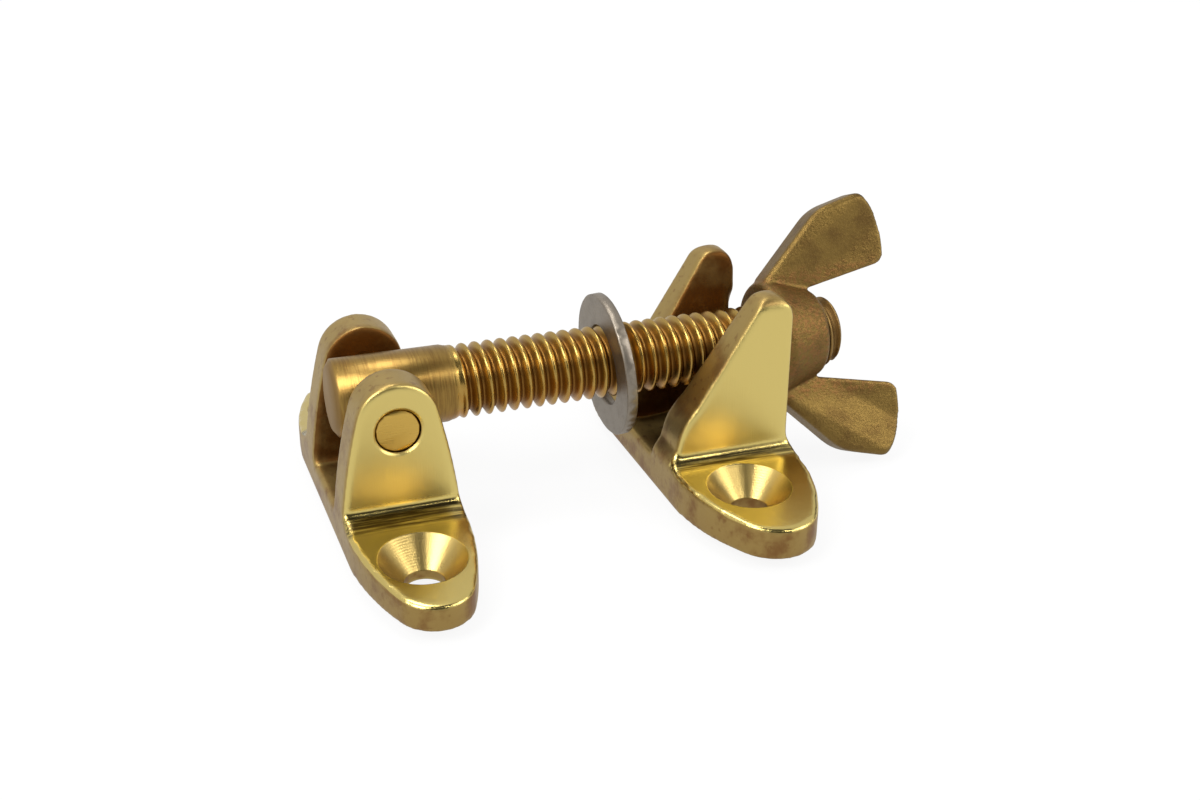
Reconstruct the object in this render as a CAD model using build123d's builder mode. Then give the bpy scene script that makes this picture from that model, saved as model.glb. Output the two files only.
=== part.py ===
from build123d import *
import math
import os

# A cast brass swing bolt: a pivot bracket, a forked bracket, and a threaded
# bolt between them with a loose washer and a wing nut.
# The origin is on the mounting surface, straight under the middle of the pivot pin.
# +X runs along the bolt towards the fork, +Y across it, +Z away from the mounting surface.

# Bolt and thread
AXIS_Z = 13.2
THREAD_R = 3.95
SHANK_R = 4.1
TAIL_X = -4.9
TAIL_CHAMFER = 0.7
SHANK_END_X = 7.6
SHANK_CHAMFER = 0.5
BOLT_END_PROUD = 2.6
BOLT_END_DOME = 1.5

# Pivot pin and its running fit in the bolt
PIN_R = 2.35
PIN_FIT = 0.06
PIN_RECESS = 0.3
PIN_CHAMFER = 0.25

# Screw holes, the same in all four feet
SCREW_R = 2.0
CSK_R = 4.5
CSK_ANGLE = 90

# Pivot bracket
P_HALF_W = 6.2
P_STRAIGHT_Y = 12.5
P_FOOT_Y = 26.4
P_HOLE_Y = 18.4
P_FOOT_ROOT_Z = 3.8
P_FOOT_TIP_Z = 2.8
P_SCOOP_W = 3.2
P_SCOOP_TOP_Z = 4.8
P_EAR_OUT_Y = 10.0
P_SLOT_W = 10.8
P_SLOT_FLOOR_Z = 3.2
P_EAR_TOP_Z = 18.3
P_EAR_CROWN_R = 4.3
P_EAR_LEAN = 15

# Fork bracket
F_X = 36.4
F_HALF_W = 7.3
F_STRAIGHT_Y = 11.4
F_FOOT_Y = 25.0
F_HOLE_Y = 16.0
F_HOLE_SHIFT = 0.6
F_FOOT_ROOT_Z = 4.2
F_FOOT_TIP_Z = 3.5
F_SCOOP_W = 2.2
F_SCOOP_TOP_Z = 5.2
F_HORN_OUT_Y = 9.6
F_CROWN_OUT_R = 1.6
F_CROWN_IN_R = 0.9
F_SLOT_W = 9.2
F_SLOT_TOP_W = 12.2
F_SLOT_FLOOR_Z = 3.4
F_SLOT_BACK_Z = 8.5
F_APEX_Z = 22.0
F_APEX_INSET = 0.6
F_APEX_R = 2.3
F_RIM = 0.25
F_HEEL_Z = 5.8
F_SHOULDER_X = 4.1
F_SHOULDER_Z = 10.4
F_SEAT_R = 7.0
F_SEAT_DEPTH = 0.6

# Softened edges of both castings
EDGE_SOFT = 0.4
SLOT_CORNER_R = 1.0
HOLE_CHAMFER = 0.25

# Washer, hanging on the thread with a slight lean
WASHER_X = 25.6
WASHER_R = 7.8
WASHER_HOLE_R = 4.45
WASHER_T = 1.2
WASHER_LEAN = 4
WASHER_SLACK = 0.03

# Wing nut
NUT_GAP = 0.9
NUT_LENGTH = 6.5
NUT_BASE_R = 6.4
NUT_TOP_R = 5.0
NUT_FIT = 0.05
NUT_TURN = 22
HUB_CHAMFER = 0.3
HUB_COLLAR = 1.4
HUB_ROUND = 0.9
WING_LEAD_X = 0.6
WING_FOOT_R = 6.6
WING_LEAD_T = 3.8
WING_T = 1.9
WING_RIDGE = 0.5
WING_FALL = 4.0
WING_KNEE_X = 7.9
WING_KNEE_R = 13.8
WING_TIP_X = 13.4
WING_TIP_R = 15.2
WING_REACH = 15.8
WING_HEEL_R = 7.0
WING_BULGE = 1.1
KNEE_SOFT = 6.0
TIP_SOFT = 1.2
HEEL_SOFT = 1.4
WING_SOFT = 0.45


def half_plan(half_w, straight_y, foot_y):
    """Corner points of one quarter of a base, from its side to the end of its foot."""
    bow = (0.86 * half_w, 0.52 * straight_y + 0.465 * foot_y)
    heel = (0.58 * half_w, foot_y - 0.38 * half_w)
    crown = (0.34 * half_w, foot_y - 0.11 * half_w)
    return bow, heel, crown


# Pivot bracket: boat-shaped base, two tombstone ears and a slot between them
p_bow, p_heel, p_crown = half_plan(P_HALF_W, P_STRAIGHT_Y, P_FOOT_Y)
p_root_y = P_EAR_OUT_Y + P_SCOOP_W
p_lean = math.radians(P_EAR_LEAN)
p_shoulder = (P_EAR_CROWN_R * math.cos(p_lean), P_EAR_TOP_Z - P_EAR_CROWN_R * (1 - math.sin(p_lean)))
with BuildPart() as pivot_bracket:
    with BuildSketch():
        with BuildLine():
            Line((P_HALF_W, 0), (P_HALF_W, P_STRAIGHT_Y))
            ThreePointArc((P_HALF_W, P_STRAIGHT_Y), p_bow, p_heel)
            ThreePointArc(p_heel, p_crown, (0, P_FOOT_Y))
            Line((0, P_FOOT_Y), (0, 0))
            Line((0, 0), (P_HALF_W, 0))
        make_face()
        mirror(about=Plane.YZ)
        mirror(about=Plane.XZ)
    extrude(amount=P_FOOT_ROOT_Z)
    # Both ears in side view
    with BuildSketch(Plane.XZ):
        with BuildLine():
            RadiusArc((0, P_EAR_TOP_Z), p_shoulder, P_EAR_CROWN_R)
            TangentArc(p_shoulder, (P_HALF_W, P_FOOT_ROOT_Z), tangent=(math.sin(p_lean), -math.cos(p_lean)))
            Line((P_HALF_W, P_FOOT_ROOT_Z), (P_HALF_W, 0))
            Line((P_HALF_W, 0), (0, 0))
            Line((0, 0), (0, P_EAR_TOP_Z))
        make_face()
        mirror(about=Plane.YZ)
    extrude(amount=p_root_y, both=True)
    # End view: foot tops that fall away, a ground scoop at each ear's root, upright ear faces
    with BuildSketch(Plane.YZ):
        with BuildLine():
            Line((0, 0), (P_FOOT_Y, 0))
            Line((P_FOOT_Y, 0), (P_FOOT_Y, P_FOOT_TIP_Z))
            Line((P_FOOT_Y, P_FOOT_TIP_Z), (p_root_y, P_FOOT_ROOT_Z))
            TangentArc(
                (p_root_y, P_FOOT_ROOT_Z),
                (P_EAR_OUT_Y, P_SCOOP_TOP_Z),
                tangent=(p_root_y - P_FOOT_Y, P_FOOT_ROOT_Z - P_FOOT_TIP_Z),
            )
            Line((P_EAR_OUT_Y, P_SCOOP_TOP_Z), (P_EAR_OUT_Y, P_EAR_TOP_Z))
            Line((P_EAR_OUT_Y, P_EAR_TOP_Z), (0, P_EAR_TOP_Z))
            Line((0, P_EAR_TOP_Z), (0, 0))
        make_face()
        mirror(about=Plane.YZ)
    extrude(amount=P_HALF_W, both=True, mode=Mode.INTERSECT)
    # Slot for the bolt, open at the top and at both sides
    with BuildSketch(Plane.YZ):
        with Locations((0, 0.5 * (P_SLOT_FLOOR_Z + 2 * P_EAR_TOP_Z))):
            RectangleRounded(P_SLOT_W, 2 * P_EAR_TOP_Z - P_SLOT_FLOOR_Z, SLOT_CORNER_R)
    extrude(amount=2 * P_HALF_W, both=True, mode=Mode.SUBTRACT)
    # Softened rims of the ears
    p_rims = edges().filter_by(
        lambda e: e.center().Z > P_SCOOP_TOP_Z + EDGE_SOFT
        and (abs(abs(e.center().Y) - P_EAR_OUT_Y) < 0.01 or abs(abs(e.center().Y) - P_SLOT_W / 2) < 0.01)
        and not e.is_closed
    )
    chamfer(p_rims, 0.5 * EDGE_SOFT)
    # Pin hole through both ears
    with Locations(Plane((0, 0, AXIS_Z), x_dir=(1, 0, 0), z_dir=(0, -1, 0))):
        Hole(radius=PIN_R)
    p_mouths = edges().filter_by(GeomType.CIRCLE).filter_by(
        lambda e: abs(abs(e.center().Y) - P_EAR_OUT_Y) < 0.01 and abs(e.radius - PIN_R) < 0.01
    )
    chamfer(p_mouths, HOLE_CHAMFER)
    # Countersunk screw holes, one in each foot
    with Locations((0, P_HOLE_Y, P_FOOT_ROOT_Z), (0, -P_HOLE_Y, P_FOOT_ROOT_Z)):
        CounterSinkHole(radius=SCREW_R, counter_sink_radius=CSK_R + 0.3, counter_sink_angle=CSK_ANGLE)
pivot_bracket.part.label = "pivot_bracket"

# Fork bracket: the same kind of base with two fin-shaped horns
f_bow, f_heel, f_crown = half_plan(F_HALF_W, F_STRAIGHT_Y, F_FOOT_Y)
f_side = Plane((F_X, 0, 0), x_dir=(1, 0, 0), z_dir=(0, -1, 0))
f_end = Plane((F_X, 0, 0), x_dir=(0, 1, 0), z_dir=(1, 0, 0))
f_back_x = F_HALF_W - F_APEX_INSET
f_seat_x = f_back_x - F_SEAT_DEPTH
f_root_y = F_HORN_OUT_Y + F_SCOOP_W
f_hole_x = F_X - F_HOLE_SHIFT
f_brow_out = (F_HORN_OUT_Y, F_APEX_Z)
f_brow_in = (0.5 * F_SLOT_TOP_W, F_APEX_Z)
f_slot_corner = (0.5 * F_SLOT_W, F_SLOT_BACK_Z)
# The long slope runs from the shoulder to touch the apex circle
f_run = f_back_x - F_APEX_R + F_SHOULDER_X
f_rise = F_APEX_Z - F_APEX_R - F_SHOULDER_Z
f_touch = math.atan2(-f_rise, -f_run) - math.acos(F_APEX_R / math.hypot(f_run, f_rise)) + 2 * math.pi
f_apex_end = (
    f_back_x - F_APEX_R + F_APEX_R * math.cos(f_touch),
    F_APEX_Z - F_APEX_R + F_APEX_R * math.sin(f_touch),
)
f_apex_mid = (
    f_back_x - F_APEX_R + F_APEX_R * math.cos(0.5 * f_touch),
    F_APEX_Z - F_APEX_R + F_APEX_R * math.sin(0.5 * f_touch),
)
with BuildPart() as fork_bracket:
    with BuildSketch(Plane((F_X, 0, 0))):
        with BuildLine():
            Line((F_HALF_W, 0), (F_HALF_W, F_STRAIGHT_Y))
            ThreePointArc((F_HALF_W, F_STRAIGHT_Y), f_bow, f_heel)
            ThreePointArc(f_heel, f_crown, (0, F_FOOT_Y))
            Line((0, F_FOOT_Y), (0, 0))
            Line((0, 0), (F_HALF_W, 0))
        make_face()
        mirror(about=Plane.YZ)
        mirror(about=Plane.XZ)
    extrude(amount=F_FOOT_ROOT_Z)
    # Horns in side view: a long slope up to a rounded apex over an upright back edge
    with BuildSketch(f_side):
        with BuildLine():
            Line((-F_HALF_W, 0), (F_HALF_W, 0))
            Line((F_HALF_W, 0), (F_HALF_W, F_FOOT_ROOT_Z))
            Line((F_HALF_W, F_FOOT_ROOT_Z), (f_back_x, F_HEEL_Z))
            Line((f_back_x, F_HEEL_Z), (f_back_x, F_APEX_Z - F_APEX_R))
            ThreePointArc((f_back_x, F_APEX_Z - F_APEX_R), f_apex_mid, f_apex_end)
            Line(f_apex_end, (-F_SHOULDER_X, F_SHOULDER_Z))
            ThreePointArc(
                (-F_SHOULDER_X, F_SHOULDER_Z),
                (-0.77 * F_HALF_W, 0.5 * (F_SHOULDER_Z + F_HEEL_Z)),
                (-0.86 * F_HALF_W, F_HEEL_Z),
            )
            Line((-0.86 * F_HALF_W, F_HEEL_Z), (-F_HALF_W, F_FOOT_ROOT_Z))
            Line((-F_HALF_W, F_FOOT_ROOT_Z), (-F_HALF_W, 0))
        make_face()
    extrude(amount=f_root_y, both=True)
    # End view: foot tops that fall away, a ground scoop at each horn's root, upright outer faces,
    # and inner faces that lean out from the back of the slot's floor
    with BuildSketch(f_end):
        with BuildLine():
            Line((0, 0), (F_FOOT_Y, 0))
            Line((F_FOOT_Y, 0), (F_FOOT_Y, F_FOOT_TIP_Z))
            Line((F_FOOT_Y, F_FOOT_TIP_Z), (f_root_y, F_FOOT_ROOT_Z))
            TangentArc(
                (f_root_y, F_FOOT_ROOT_Z),
                (F_HORN_OUT_Y, F_SCOOP_TOP_Z),
                tangent=(f_root_y - F_FOOT_Y, F_FOOT_ROOT_Z - F_FOOT_TIP_Z),
            )
            Line((F_HORN_OUT_Y, F_SCOOP_TOP_Z), f_brow_out)
            Line(f_brow_out, f_brow_in)
            Line(f_brow_in, f_slot_corner)
            Line(f_slot_corner, (0, F_SLOT_BACK_Z))
            Line((0, F_SLOT_BACK_Z), (0, 0))
        make_face()
        mirror(about=Plane.YZ)
    extrude(amount=2 * F_HALF_W, both=True, mode=Mode.INTERSECT)
    # Softened rims of the horns
    f_sides = faces().filter_by(
        lambda f: abs(f.normal_at().Y) > 0.9 and f.center().Z > F_SLOT_BACK_Z
    )
    chamfer(f_sides.edges().filter_by(lambda e: e.center().Z > F_SHOULDER_Z + F_RIM), F_RIM)
    # Crowns of the horns, rounded when seen from the ends
    with BuildSketch(f_end):
        with BuildLine():
            Polyline(
                (0, 0),
                (F_FOOT_Y, 0),
                (F_FOOT_Y, F_SHOULDER_Z),
                (F_HORN_OUT_Y, F_SHOULDER_Z),
                f_brow_out,
                f_brow_in,
                f_slot_corner,
                (0, F_SLOT_BACK_Z),
                close=True,
            )
        make_face()
        fillet(vertices().sort_by_distance(f_brow_out)[0], F_CROWN_OUT_R)
        fillet(vertices().sort_by_distance(f_brow_in)[0], F_CROWN_IN_R)
        mirror(about=Plane.YZ)
    extrude(amount=2 * F_HALF_W, both=True, mode=Mode.INTERSECT)
    # Scooped slot: low at the mouth, rising under the bolt towards the nut
    with BuildSketch(Plane((F_X, 0, 0), x_dir=(1, 0, 0), z_dir=(0, -1, 0))):
        with BuildLine():
            Line((-2 * F_HALF_W, F_SLOT_FLOOR_Z), (-0.75 * F_HALF_W, F_SLOT_FLOOR_Z))
            ThreePointArc(
                (-0.75 * F_HALF_W, F_SLOT_FLOOR_Z),
                (0.25 * F_HALF_W, F_SLOT_FLOOR_Z + 0.3 * (F_SLOT_BACK_Z - F_SLOT_FLOOR_Z)),
                (f_seat_x, F_SLOT_BACK_Z),
            )
            Line((f_seat_x, F_SLOT_BACK_Z), (2 * F_HALF_W, F_SLOT_BACK_Z))
            Line((2 * F_HALF_W, F_SLOT_BACK_Z), (2 * F_HALF_W, 2 * F_APEX_Z))
            Line((2 * F_HALF_W, 2 * F_APEX_Z), (-2 * F_HALF_W, 2 * F_APEX_Z))
            Line((-2 * F_HALF_W, 2 * F_APEX_Z), (-2 * F_HALF_W, F_SLOT_FLOOR_Z))
        make_face()
    extrude(amount=F_SLOT_W / 2, both=True, mode=Mode.SUBTRACT)
    # Seat for the nut in the back edges of the horns
    with BuildSketch(Plane((F_X + f_seat_x, 0, AXIS_Z), x_dir=(0, 1, 0), z_dir=(1, 0, 0))):
        Circle(F_SEAT_R)
    extrude(amount=4 * F_SEAT_DEPTH, mode=Mode.SUBTRACT)
    # Countersunk screw holes, one in each foot
    with Locations((f_hole_x, F_HOLE_Y, F_FOOT_ROOT_Z), (f_hole_x, -F_HOLE_Y, F_FOOT_ROOT_Z)):
        CounterSinkHole(radius=SCREW_R, counter_sink_radius=CSK_R + 0.2, counter_sink_angle=CSK_ANGLE)
fork_bracket.part.label = "fork_bracket"

# Pivot pin, pressed through both ears
pin_half = P_EAR_OUT_Y - PIN_RECESS
with BuildPart() as pivot_pin:
    with BuildSketch(Plane((0, 0, AXIS_Z), x_dir=(1, 0, 0), z_dir=(0, -1, 0))):
        Circle(PIN_R)
    extrude(amount=pin_half, both=True)
    chamfer(edges().filter_by(GeomType.CIRCLE), PIN_CHAMFER)
pivot_pin.part.label = "pivot_pin"

# Swing bolt: plain shank at the pivot, the thread's outer cylinder beyond it, up to the nut's far side
nut_face_x = F_X + f_back_x + NUT_GAP
nut_end_x = nut_face_x + NUT_LENGTH
bolt_end_x = nut_end_x + BOLT_END_PROUD
bolt_plane = Plane((0, 0, AXIS_Z), x_dir=(1, 0, 0), z_dir=(0, -1, 0))
with BuildPart() as swing_bolt:
    with BuildSketch(bolt_plane):
        with BuildLine():
            Line((TAIL_X, 0), (TAIL_X, SHANK_R - TAIL_CHAMFER))
            Line((TAIL_X, SHANK_R - TAIL_CHAMFER), (TAIL_X + 0.7 * TAIL_CHAMFER, SHANK_R))
            Line((TAIL_X + 0.7 * TAIL_CHAMFER, SHANK_R), (SHANK_END_X - SHANK_CHAMFER, SHANK_R))
            Line((SHANK_END_X - SHANK_CHAMFER, SHANK_R), (SHANK_END_X, THREAD_R))
            Line((SHANK_END_X, THREAD_R), (bolt_end_x - BOLT_END_DOME, THREAD_R))
            ThreePointArc(
                (bolt_end_x - BOLT_END_DOME, THREAD_R),
                (bolt_end_x - 0.45 * BOLT_END_DOME, 0.74 * THREAD_R),
                (bolt_end_x, 0.3 * THREAD_R),
            )
            Line((bolt_end_x, 0.3 * THREAD_R), (bolt_end_x, 0))
            Line((bolt_end_x, 0), (TAIL_X, 0))
        make_face()
    revolve(axis=Axis((0, 0, AXIS_Z), (1, 0, 0)))
    with BuildSketch(bolt_plane):
        Circle(PIN_R + PIN_FIT)
    extrude(amount=2 * SHANK_R, both=True, mode=Mode.SUBTRACT)
swing_bolt.part.label = "swing_bolt"

# Washer: its hole rests on top of the thread, so it hangs lower than the bolt's axis
lean = math.radians(WASHER_LEAN)
washer_drop = WASHER_HOLE_R * math.cos(lean) - 0.5 * WASHER_T * math.sin(lean) - THREAD_R - WASHER_SLACK
washer_plane = Plane(
    (WASHER_X, 0, AXIS_Z - washer_drop),
    x_dir=(0, 1, 0),
    z_dir=(math.cos(lean), 0, math.sin(lean)),
)
with BuildPart() as washer:
    with BuildSketch(washer_plane):
        Circle(WASHER_R)
        Circle(WASHER_HOLE_R, mode=Mode.SUBTRACT)
    extrude(amount=WASHER_T / 2, both=True)
    chamfer(edges().filter_by(GeomType.CIRCLE), 0.1 * WASHER_T)
washer.part.label = "washer"

# Wing nut: a tapered hub and two swept blades, thick along the leading edge and thin behind it
hub_base_z = AXIS_Z + NUT_BASE_R
hub_top_z = AXIS_Z + NUT_TOP_R
turn = math.radians(NUT_TURN)
wing_plane = Plane(
    (nut_face_x, 0, AXIS_Z),
    x_dir=(1, 0, 0),
    z_dir=(0, -math.cos(turn), math.sin(turn)),
)
lead_foot = (WING_LEAD_X, WING_FOOT_R)
knee = (WING_KNEE_X, WING_KNEE_R)
wing_tip = (WING_TIP_X, WING_TIP_R)
wing_heel = (WING_REACH, WING_HEEL_R)
# The blade's section is drawn square to the line from its foot to its tip
sweep_x = WING_TIP_X - lead_foot[0]
sweep_r = WING_TIP_R - lead_foot[1]
sweep = math.hypot(sweep_x, sweep_r)
section_plane = Plane(
    wing_plane.from_local_coords((lead_foot[0], lead_foot[1], 0)),
    x_dir=wing_plane.from_local_coords((sweep_r / sweep, -sweep_x / sweep, 0)) - wing_plane.origin,
    z_dir=wing_plane.from_local_coords((sweep_x / sweep, sweep_r / sweep, 0)) - wing_plane.origin,
)
bulge = (
    0.5 * (WING_TIP_X + WING_REACH) + WING_BULGE,
    0.5 * (WING_TIP_R + WING_HEEL_R),
)
with BuildPart() as wing_nut:
    with BuildSketch(wing_plane):
        with BuildLine():
            Line((WING_LEAD_X, THREAD_R), lead_foot)
            Line(lead_foot, knee)
            Line(knee, wing_tip)
            ThreePointArc(wing_tip, bulge, wing_heel)
            Line(wing_heel, (WING_LEAD_X, THREAD_R))
        make_face()
        fillet(vertices().sort_by_distance(knee)[0], KNEE_SOFT)
        fillet(vertices().sort_by_distance(wing_tip)[0], TIP_SOFT)
        fillet(vertices().sort_by_distance(wing_heel)[0], HEEL_SOFT)
    extrude(amount=WING_LEAD_T / 2, both=True)
    blade_rims = edges().filter_by(
        lambda e: abs(abs(wing_plane.to_local_coords(e.center()).Z) - WING_LEAD_T / 2) < 0.01
    )
    chamfer(blade_rims, WING_SOFT)
    # Blade thinned behind its leading edge
    with BuildSketch(section_plane):
        with BuildLine():
            Polyline(
                (-WING_REACH, 0),
                (-WING_REACH, WING_LEAD_T),
                (WING_RIDGE - WING_LEAD_T, WING_LEAD_T),
                (WING_RIDGE, WING_LEAD_T / 2),
                (WING_RIDGE + WING_FALL, WING_T / 2),
                (WING_REACH, WING_T / 2),
                (WING_REACH, 0),
                close=True,
            )
        make_face()
        mirror(about=Plane.XZ)
    extrude(amount=2 * WING_REACH, both=True, mode=Mode.INTERSECT)
    mirror(about=Plane(wing_plane.origin, x_dir=wing_plane.x_dir, z_dir=wing_plane.y_dir))
    # Hub
    with BuildSketch(Plane.XZ):
        with BuildLine():
            Polyline(
                (nut_end_x, hub_top_z - HUB_ROUND),
                (nut_end_x, AXIS_Z),
                (nut_face_x, AXIS_Z),
                (nut_face_x, hub_base_z - HUB_CHAMFER),
                (nut_face_x + HUB_CHAMFER, hub_base_z),
                (nut_face_x + HUB_COLLAR, hub_base_z),
                (nut_end_x - HUB_ROUND, hub_top_z),
            )
            ThreePointArc(
                (nut_end_x - HUB_ROUND, hub_top_z),
                (nut_end_x - 0.3 * HUB_ROUND, hub_top_z - 0.4 * HUB_ROUND),
                (nut_end_x, hub_top_z - HUB_ROUND),
            )
        make_face()
    revolve(axis=Axis((0, 0, AXIS_Z), (1, 0, 0)))
    # Bore over the thread
    with BuildSketch(Plane((nut_face_x, 0, AXIS_Z), x_dir=(0, 1, 0), z_dir=(1, 0, 0))):
        Circle(THREAD_R + NUT_FIT)
    extrude(amount=3 * NUT_LENGTH, mode=Mode.SUBTRACT)
wing_nut.part.label = "wing_nut"

os.makedirs("parts", exist_ok=True)
export_step(pivot_bracket.part, "parts/pivot_bracket.step")
export_step(pivot_pin.part, "parts/pivot_pin.step")
export_step(swing_bolt.part, "parts/swing_bolt.step")
export_step(washer.part, "parts/washer.step")
export_step(fork_bracket.part, "parts/fork_bracket.step")
export_step(wing_nut.part, "parts/wing_nut.step")
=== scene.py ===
"""Looks of the cast brass swing-bolt latch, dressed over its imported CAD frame.

Lengths are in metres, and in millimetres where a class or a function says so. The frame
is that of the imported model: +X along the closed bolt, +Y along the pivot pin, +Z away
from the mounting surface.
"""

import logging
import math
from abc import ABC, abstractmethod
from dataclasses import dataclass, field
from enum import Enum
from typing import Any

import bmesh
import bpy
from bmesh.types import BMesh, BMVert
from bpy.types import Material, Mesh, NodeSocket, Object
from mathutils import Matrix, Vector
from mathutils.bvhtree import BVHTree
from mathutils.kdtree import KDTree


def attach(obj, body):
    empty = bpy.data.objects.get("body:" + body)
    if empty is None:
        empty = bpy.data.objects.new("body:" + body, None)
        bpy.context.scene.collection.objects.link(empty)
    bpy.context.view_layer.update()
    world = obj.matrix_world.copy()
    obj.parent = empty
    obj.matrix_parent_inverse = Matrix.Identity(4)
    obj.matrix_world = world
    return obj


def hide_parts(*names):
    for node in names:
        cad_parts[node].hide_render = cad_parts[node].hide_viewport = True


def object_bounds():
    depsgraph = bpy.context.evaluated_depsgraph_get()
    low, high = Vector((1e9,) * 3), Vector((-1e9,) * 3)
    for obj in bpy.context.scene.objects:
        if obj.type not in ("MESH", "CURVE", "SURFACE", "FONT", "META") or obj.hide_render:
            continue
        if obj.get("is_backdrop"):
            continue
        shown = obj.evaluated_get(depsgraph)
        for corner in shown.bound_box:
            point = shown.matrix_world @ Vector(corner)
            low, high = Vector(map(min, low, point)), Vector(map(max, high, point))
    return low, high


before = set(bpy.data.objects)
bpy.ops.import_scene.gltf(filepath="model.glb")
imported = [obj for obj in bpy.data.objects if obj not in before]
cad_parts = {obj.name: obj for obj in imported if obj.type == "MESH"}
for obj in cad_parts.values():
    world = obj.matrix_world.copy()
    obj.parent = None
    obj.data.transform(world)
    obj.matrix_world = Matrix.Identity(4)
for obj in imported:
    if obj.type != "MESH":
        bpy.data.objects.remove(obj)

LOG = logging.getLogger("latch")
MM = 0.001
MERGE = 0.002 * MM
CUT = 0.0005 * MM
SHARP = 30.0
NO_SHARP = 180.0
BEVEL_SAMPLES = 6
WHITE = (1.0, 1.0, 1.0)

Colour = tuple[float, float, float]
Band = tuple[float, float]


class Node(str, Enum):
    """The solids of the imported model."""

    PIVOT_BRACKET = "pivot_bracket"
    PIVOT_PIN = "pivot_pin"
    SWING_BOLT = "swing_bolt"
    WASHER = "washer"
    FORK_BRACKET = "fork_bracket"
    WING_NUT = "wing_nut"


class Body(str, Enum):
    """The bodies that the solids ride on."""

    BRACKETS = "brackets"
    BOLT = "bolt"
    WASHER = "washer"
    NUT = "nut"


@dataclass(frozen=True)
class Grain:
    """A soft noise.

    It has so many features in a millimetre along each axis, so many octaves, and a
    strength of the finer octaves.
    """

    stretch: Colour
    detail: float = 3.0
    rough: float = 0.6


class Value:
    """A shader socket that takes part in Python arithmetic."""

    def __init__(self, graph: "Graph", socket: NodeSocket) -> None:
        """Keeps the socket and the graph that new nodes go to."""
        self.graph = graph
        self.socket = socket

    def _maths(self, operation: str, first: Any, second: Any = None) -> "Value":
        """Adds one Math node.

        Args:
            operation: the node's operation.
            first: its first value or link.
            second: its second value or link, where it has one.

        Returns:
            The node's result.
        """
        sockets = {0: first} if second is None else {0: first, 1: second}
        return self.graph.node("ShaderNodeMath", {"operation": operation}, sockets)

    def __add__(self, other: Any) -> "Value":
        """This value plus another."""
        return self._maths("ADD", self, other)

    def __sub__(self, other: Any) -> "Value":
        """This value less another."""
        return self._maths("SUBTRACT", self, other)

    def __mul__(self, other: Any) -> "Value":
        """This value times another."""
        return self._maths("MULTIPLY", self, other)

    def __rsub__(self, other: float) -> "Value":
        """A number less this value."""
        return self._maths("SUBTRACT", other, self)

    def __pow__(self, other: float) -> "Value":
        """This value raised to a power."""
        return self._maths("POWER", self, other)

    __radd__ = __add__
    __rmul__ = __mul__

    def __abs__(self) -> "Value":
        """This value without its sign."""
        return self._maths("ABSOLUTE", self)

    def at_least(self, other: Any) -> "Value":
        """The larger of two values."""
        return self._maths("MAXIMUM", self, other)

    def sign(self) -> "Value":
        """Minus one, nought or one."""
        return self._maths("SIGN", self)

    def sine(self) -> "Value":
        """The value's sine."""
        return self._maths("SINE", self)

    def ramp(self, low: float, high: float, origin: float = 0.0) -> "Value":
        """Rises smoothly from 0 at low to 1 at high, or falls where low is the larger.

        Args:
            low: the value at which the result is 0.
            high: the value at which the result is 1.
            origin: what both are measured from.

        Returns:
            The eased value, held between 0 and 1.
        """
        low, high = origin + low, origin + high
        start, end, first, last = (low, high, 0.0, 1.0) if low < high else (high, low, 1.0, 0.0)
        return self.graph.node(
            "ShaderNodeMapRange",
            {"interpolation_type": "SMOOTHSTEP"},
            {0: self, 1: start, 2: end, 3: first, 4: last},
        )


Triple = tuple[Value, Value, Value]


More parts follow.
